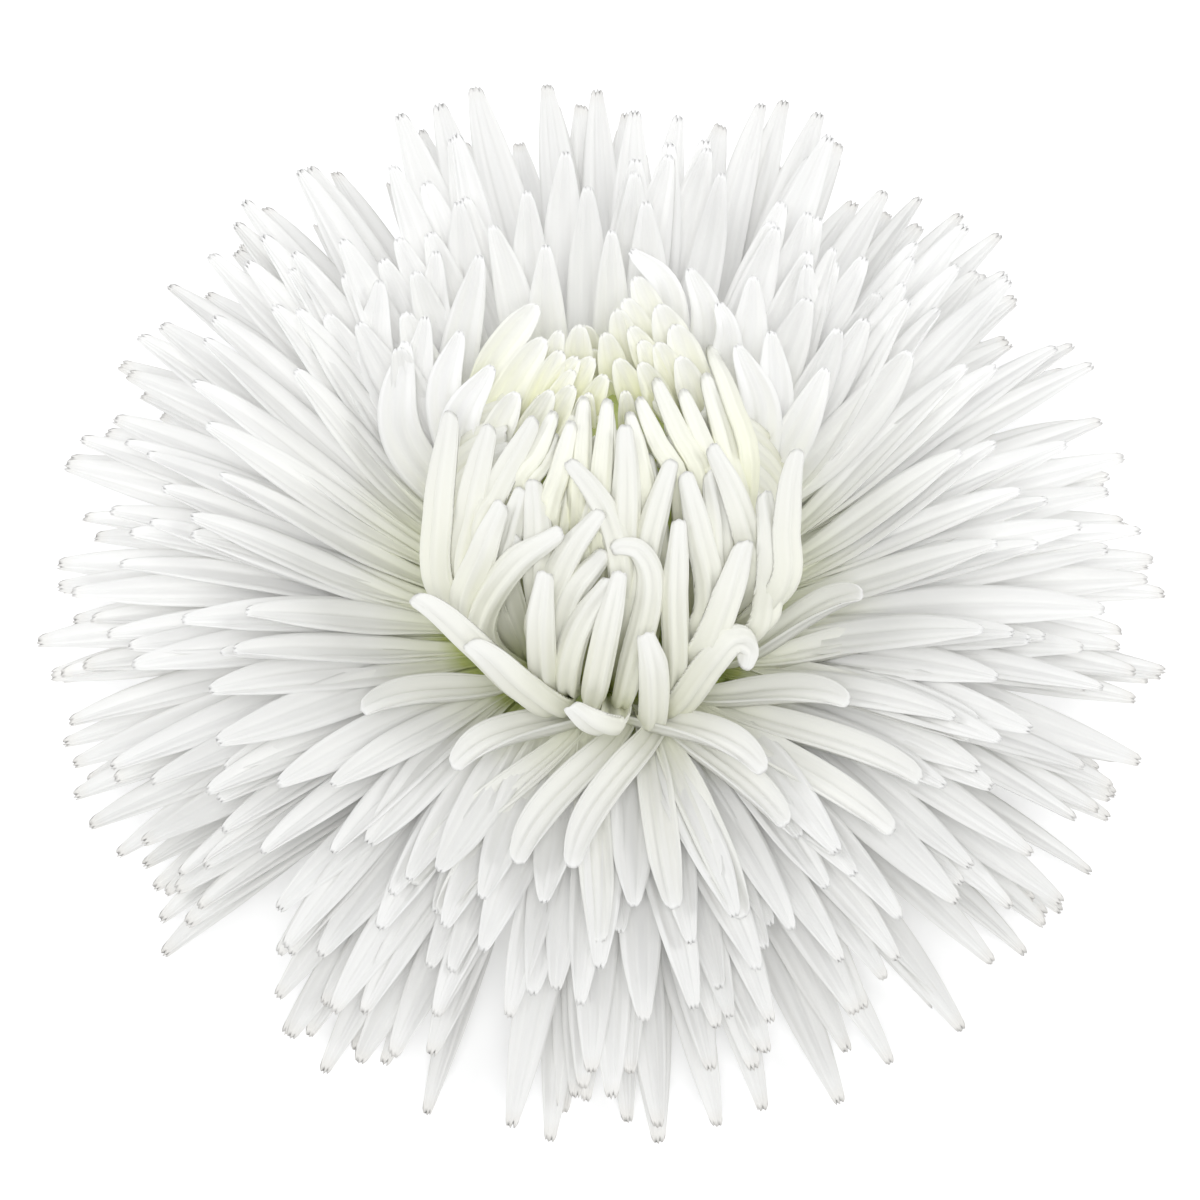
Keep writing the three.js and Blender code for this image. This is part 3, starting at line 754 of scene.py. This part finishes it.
class Nodes:
    """A small helper that adds and links the shader nodes of a material."""

    # The numbers of the colour mix node's sockets.
    MIX_FACTOR, MIX_FIRST, MIX_SECOND, MIX_RESULT = 0, 6, 7, 2

    def __init__(self, name):
        self.material = bpy.data.materials.new(name)
        self.material.use_nodes = True
        self.tree = self.material.node_tree
        self.shader = self.tree.nodes["Principled BSDF"]

    def add(self, kind, inputs=None):
        node = self.tree.nodes.new(kind)
        for key, value in (inputs or {}).items():
            self.set(node, key, value)
        return node

    def set(self, node, key, value):
        if isinstance(value, bpy.types.NodeSocket):
            self.tree.links.new(value, node.inputs[key])
        else:
            node.inputs[key].default_value = value

    def math(self, operation, first, second=0.0):
        node = self.add("ShaderNodeMath", {0: first, 1: second})
        node.operation = operation
        return node.outputs[0]

    def ramp(self, factor, stops):
        node = self.add("ShaderNodeValToRGB", {0: factor})
        elements = node.color_ramp.elements
        while len(elements) < len(stops):
            elements.new(0.5)
        for element, (position, colour) in zip(elements, stops):
            element.position = position
            element.color = (*colour, 1.0)
        return node.outputs[0]

    def mix(self, factor, first, second, blend="MIX"):
        """Two colours, each a socket or three numbers, mixed or blended by a factor."""
        node = self.tree.nodes.new("ShaderNodeMix")
        node.data_type = "RGBA"
        node.blend_type = blend
        self.set(node, self.MIX_FACTOR, factor)
        for key, colour in ((self.MIX_FIRST, first), (self.MIX_SECOND, second)):
            is_socket = isinstance(colour, bpy.types.NodeSocket)
            self.set(node, key, colour if is_socket else (*colour, 1.0))
        return node.outputs[self.MIX_RESULT]

    def attribute(self, name):
        node = self.add("ShaderNodeAttribute")
        node.attribute_name = name
        return node.outputs

    def noise(self, scale, detail=2.0):
        place = self.add("ShaderNodeTexCoord").outputs["Object"]
        node = self.add("ShaderNodeTexNoise", {"Vector": place, "Scale": scale, "Detail": detail})
        return node.outputs["Fac"]

    def bump(self, height, strength, distance):
        node = self.add("ShaderNodeBump", {"Strength": strength, "Distance": distance, "Height": height})
        self.set(self.shader, "Normal", node.outputs[0])


# Colours along a petal from its root to its tip, white ones and those of the heart.
WHITE_STOPS = [
    (0.0, (0.25, 0.32, 0.04)), (0.10, (0.56, 0.62, 0.20)), (0.18, (0.92, 0.93, 0.76)),
    (0.45, (0.986, 0.984, 0.966))]
CREAM_STOPS = [
    (0.0, (0.25, 0.32, 0.03)), (0.2, (0.62, 0.68, 0.13)), (0.42, (0.88, 0.90, 0.36)),
    (0.7, (0.955, 0.96, 0.56)), (1.0, (0.985, 0.985, 0.87))]
# Where the painted shade at the very tip of a petal begins and where it is full.
TIP_SHADE_STOPS = [(0.955, (0.0, 0.0, 0.0)), (0.995, (1.0, 1.0, 1.0))]
# Colours of the painted shade: over the whole petal, along its edges and at its very tip.
PETAL = dict(
    grain_scale=260.0, grain_detail=3.0, veins=21.0, vein_wander=1.6, vein_depth=0.03,
    vein_colour=(0.72, 0.76, 0.66), dull_share=0.5, dull_colour=(0.80, 0.80, 0.79),
    edge_power=8.0, dry_edge=0.5, slight_edge_shading=0.04, edge_shade_colour=(0.70, 0.69, 0.65),
    tip_shade=0.36, tip_shade_colour=(0.62, 0.56, 0.46), roughness=0.46, rough_grain=0.16, specular=0.32,
    vein_relief=0.25, bump=0.3, bump_distance=0.0002)
GREEN = dict(
    grain_scale=900.0, grain_detail=4.0, edge_power=4.0, tip_power=6.0, pale_share=0.75,
    roughness=0.62, subsurface=0.1, subsurface_scale=0.001, bump=0.4, bump_distance=0.0002)


def petal_material(name):
    """Petal: green at its base, yellow in the heart, with fine lengthwise veins, and painted shade over it
    and along its edges and tips.
    """
    n = Nodes(name)
    dull, dry = n.attribute("shade_and_tone")["Fac"], n.attribute("dry")["Fac"]
    split = n.add("ShaderNodeSeparateXYZ", {0: n.attribute("petal")["Vector"]})
    across, share, yellow = split.outputs
    colour = n.mix(yellow, n.ramp(share, WHITE_STOPS), n.ramp(share, CREAM_STOPS))

    grain = n.noise(PETAL["grain_scale"], PETAL["grain_detail"])
    veins = n.math("MULTIPLY", across, PETAL["veins"])
    veins = n.math("SINE", n.math("ADD", veins, n.math("MULTIPLY", grain, PETAL["vein_wander"])))
    vein_depth = n.math("MULTIPLY", n.math("MAXIMUM", veins, 0.0), PETAL["vein_depth"])
    colour = n.mix(vein_depth, colour, PETAL["vein_colour"])
    # Painted shade darkens the whole petal by the amount that its floret carries.
    colour = n.mix(n.math("MULTIPLY", dull, PETAL["dull_share"]), colour, PETAL["dull_colour"], "MULTIPLY")

    # Painted shade along the edges of a petal, stronger on the lower outer florets, and at its very tip.
    dry_edge = n.math("ADD", n.math("MULTIPLY", dry, PETAL["dry_edge"]), PETAL["slight_edge_shading"])
    edge = n.math("POWER", n.math("ABSOLUTE", across), PETAL["edge_power"])
    colour = n.mix(n.math("MULTIPLY", edge, dry_edge), colour, PETAL["edge_shade_colour"])
    tip_shade = n.math("MULTIPLY", n.ramp(share, TIP_SHADE_STOPS), n.math("MULTIPLY", dry, PETAL["tip_shade"]))
    colour = n.mix(tip_shade, colour, PETAL["tip_shade_colour"])

    n.set(n.shader, "Base Color", colour)
    roughness = n.math("ADD", PETAL["roughness"], n.math("MULTIPLY", grain, PETAL["rough_grain"]))
    n.set(n.shader, "Roughness", roughness)
    n.set(n.shader, "Specular IOR Level", PETAL["specular"])
    n.bump(n.math("ADD", n.math("MULTIPLY", veins, PETAL["vein_relief"]), grain), PETAL["bump"],
           PETAL["bump_distance"])
    return n.material


def green_material(name, dark, light, pale):
    """Bract or stalk tissue: mottled, and pale at the edges and the tips."""
    n = Nodes(name)
    split = n.add("ShaderNodeSeparateXYZ", {0: n.attribute("petal")["Vector"]})
    across, share, _ = split.outputs
    grain = n.noise(GREEN["grain_scale"], GREEN["grain_detail"])
    edge = n.math("POWER", n.math("ABSOLUTE", across), GREEN["edge_power"])
    tip = n.math("POWER", share, GREEN["tip_power"])
    paleness = n.math("MULTIPLY", n.math("MAXIMUM", edge, tip), GREEN["pale_share"])
    n.set(n.shader, "Base Color", n.mix(paleness, n.mix(grain, dark, light), pale))
    n.set(n.shader, "Roughness", GREEN["roughness"])
    n.set(n.shader, "Subsurface Weight", GREEN["subsurface"])
    n.set(n.shader, "Subsurface Scale", GREEN["subsurface_scale"])
    n.bump(grain, GREEN["bump"], GREEN["bump_distance"])
    return n.material


petal_white = petal_material("petal_white")
petal_heart = petal_material("petal_heart")
bract_green = green_material("bract_green", (0.10, 0.17, 0.04), (0.20, 0.30, 0.08), (0.55, 0.58, 0.36))
stalk_green = green_material("stalk_green", (0.14, 0.22, 0.06), (0.24, 0.34, 0.10), (0.45, 0.55, 0.30))
base_green = green_material("base_green", (0.32, 0.40, 0.08), (0.42, 0.50, 0.12), (0.50, 0.58, 0.18))

# Faces of a floret across and lengthwise.
BLADE_FACES = (10, 28)
FINGER_FACES = (14, 36)
HEART_FACES = (10, 20)
BRACT_FACES = (8, 10)
SIDES = 48
STALK_SIDES = 60


def add_outer_florets():
    """The outer florets as three pieces, so that none has too many faces."""
    florets = [outer_floret(number) for number in range(OUTER["count"])]
    ends = (0, len(florets) // 3, 2 * len(florets) // 3, len(florets))
    for layer, first, last in zip(("lower", "middle", "upper"), ends[:-1], ends[1:]):
        node_names = ["white_florets"] if layer == "lower" else []
        add_florets(f"outer_florets_{layer}", florets[first:last], *BLADE_FACES, petal_white,
                    node_names, "petal_white")


def add_inner_florets():
    upright = [upright_floret(number) for number in range(UPRIGHT["count"])]
    upright += [wall_floret(number) for number in range(len(WALL_TIPS))]
    add_florets("upright_florets", upright, *BLADE_FACES, petal_white, [], "petal_white")
    add_florets("crown_florets", crown_florets(), *FINGER_FACES, petal_white, [], "petal_white")
    add_florets("heart_florets_fine", heart_florets(), *HEART_FACES, petal_heart,
                ["heart_florets"], "heart_yellow")


def add_receptacle():
    """The green bodies that the florets are rooted in: a ball under the heart and a low disc."""
    radius, floor, steps = 13.4, RIM_HEIGHT + 5.3, 12
    lowest = math.acos((floor - BALL_HEIGHT) / radius)
    angles = [lowest * (1 - k / steps) for k in range(steps)]
    ball = [(radius * math.sin(a), BALL_HEIGHT + radius * math.cos(a)) for a in angles]
    ball = [(0.0, floor)] + ball + [(0.0, BALL_HEIGHT + radius)]
    add_turned("heart_base", turned(ball, SIDES, BALL_OFFSET), base_green, [])
    # Radius and height over the rim.
    disc = [(0, -1.6), (8.4, -1.6), (15.5, -0.9), (16.6, 0.4), (16.2, 3.0), (14.5, 4.6), (0, 4.6)]
    disc = [(disc_radius, RIM_HEIGHT + height) for disc_radius, height in disc]
    add_turned("floret_base", turned(disc, SIDES), base_green, [])


def add_involucre():
    bracts = [bract(row, place) for row in range(BRACTS["rows"]) for place in range(BRACTS["per_row"])]
    add_florets("bracts", bracts, *BRACT_FACES, bract_green, ["calyx"], "calyx_green")
    cup = [(0, CUP_FOOT), (3.1, CUP_FOOT), (5.6, CUP_FOOT + 0.8), (7.4, CUP_FOOT + 2.2),
           (8.1, RIM_HEIGHT - 3.0), (8.2, RIM_HEIGHT - 2.0), (0, RIM_HEIGHT - 2.0)]
    add_turned("cup", turned(cup, SIDES), bract_green, [])


def add_stalk():
    """The ribbed stub of the stalk, with a slightly rounded cut edge and a flare under the cup."""
    radius, height = STALK_RADIUS, STALK_HEIGHT
    profile = [(0, FLOOR_GAP), (radius * 0.5, FLOOR_GAP), (radius * 0.93, FLOOR_GAP), (radius, 0.2),
               (radius, height * 0.55), (radius + 0.35, height), (0, height)]
    add_turned("stalk", turned(profile, STALK_SIDES, ripple=0.03, lobes=10), stalk_green,
               ["stem"])


# The stage: a white floor that is slightly lit, and round lamps in front, behind and at both sides.
# Sizes here are in metres.
FLOOR = dict(size=6, grain=30.0, roughness=0.9, glow=0.15)
FLOOR_STOPS = [(0.3, (0.975, 0.975, 0.975)), (0.7, (0.985, 0.985, 0.985))]
WORLD = dict(colour=(0.97, 0.98, 1.0, 1.0), strength=0.42)
LAMP = dict(size=0.5, colour=(0.98, 0.985, 1.0), target=(0, 0, 0.02))
LAMPS = dict(
    key=((0, -0.56, 0.83), 4.8), rim=((0, 0.87, 0.5), 2.4),
    left=((-0.8, 0, 0.6), 2.7), right=((0.8, 0, 0.6), 2.8))
SENSOR_WIDTH = 36
CLIP_START = 0.01
GAMMA = 1.4
# Light passes from petal to petal many times in a white flower.
BOUNCES = dict(all_kinds=7, diffuse=6)


def add_floor():
    bpy.ops.mesh.primitive_plane_add(size=FLOOR["size"])
    floor = bpy.context.object
    floor.name = "floor"
    n = Nodes("floor_white")
    n.set(n.shader, "Base Color", n.ramp(n.noise(FLOOR["grain"]), FLOOR_STOPS))
    n.set(n.shader, "Roughness", FLOOR["roughness"])
    n.set(n.shader, "Emission Color", (1.0, 1.0, 1.0, 1.0))
    n.set(n.shader, "Emission Strength", FLOOR["glow"])
    floor.data.materials.append(n.material)


def add_lamp(name, place, power):
    light = bpy.data.lights.new(name, "AREA")
    light.shape = "DISK"
    light.size = LAMP["size"]
    light.energy = power
    light.color = LAMP["colour"]
    lamp = bpy.data.objects.new(name, light)
    bpy.context.scene.collection.objects.link(lamp)
    lamp.location = place
    lamp.rotation_mode = "QUATERNION"
    lamp.rotation_quaternion = (Vector(LAMP["target"]) - Vector(place)).to_track_quat("-Z", "Y")


def add_world():
    world = bpy.data.worlds.new("soft_box")
    bpy.context.scene.world = world
    world.use_nodes = True
    background = world.node_tree.nodes["Background"]
    background.inputs["Color"].default_value = WORLD["colour"]
    background.inputs["Strength"].default_value = WORLD["strength"]


def add_camera():
    """The camera of the photo, as estimated."""
    eye, back, _ = camera_axes()
    camera_data = bpy.data.cameras.new("camera")
    camera = bpy.data.objects.new("camera", camera_data)
    bpy.context.scene.collection.objects.link(camera)
    camera.location = Vector(eye * MM)
    camera.rotation_mode = "QUATERNION"
    camera.rotation_quaternion = Vector(-back).to_track_quat("-Z", "Y")
    frame_width = PHOTO_SIZE / CAMERA["pixels_per_mm"]
    camera_data.sensor_width = SENSOR_WIDTH
    camera_data.lens = SENSOR_WIDTH * CAMERA["distance"] / frame_width
    camera_data.shift_x = (PHOTO_SIZE / 2 - CAMERA["centre"][0]) / PHOTO_SIZE
    camera_data.shift_y = (CAMERA["centre"][1] - PHOTO_SIZE / 2) / PHOTO_SIZE
    camera_data.clip_start = CLIP_START
    bpy.context.scene.camera = camera


add_outer_florets()
add_inner_florets()
add_receptacle()
add_involucre()
add_stalk()

add_floor()
add_world()
for lamp_name, (lamp_place, lamp_power) in LAMPS.items():
    add_lamp(lamp_name, lamp_place, lamp_power)
add_camera()
bpy.context.scene.view_settings.view_transform = "Standard"
bpy.context.scene.view_settings.gamma = GAMMA
bpy.context.scene.cycles.max_bounces = BOUNCES["all_kinds"]
bpy.context.scene.cycles.diffuse_bounces = BOUNCES["diffuse"]
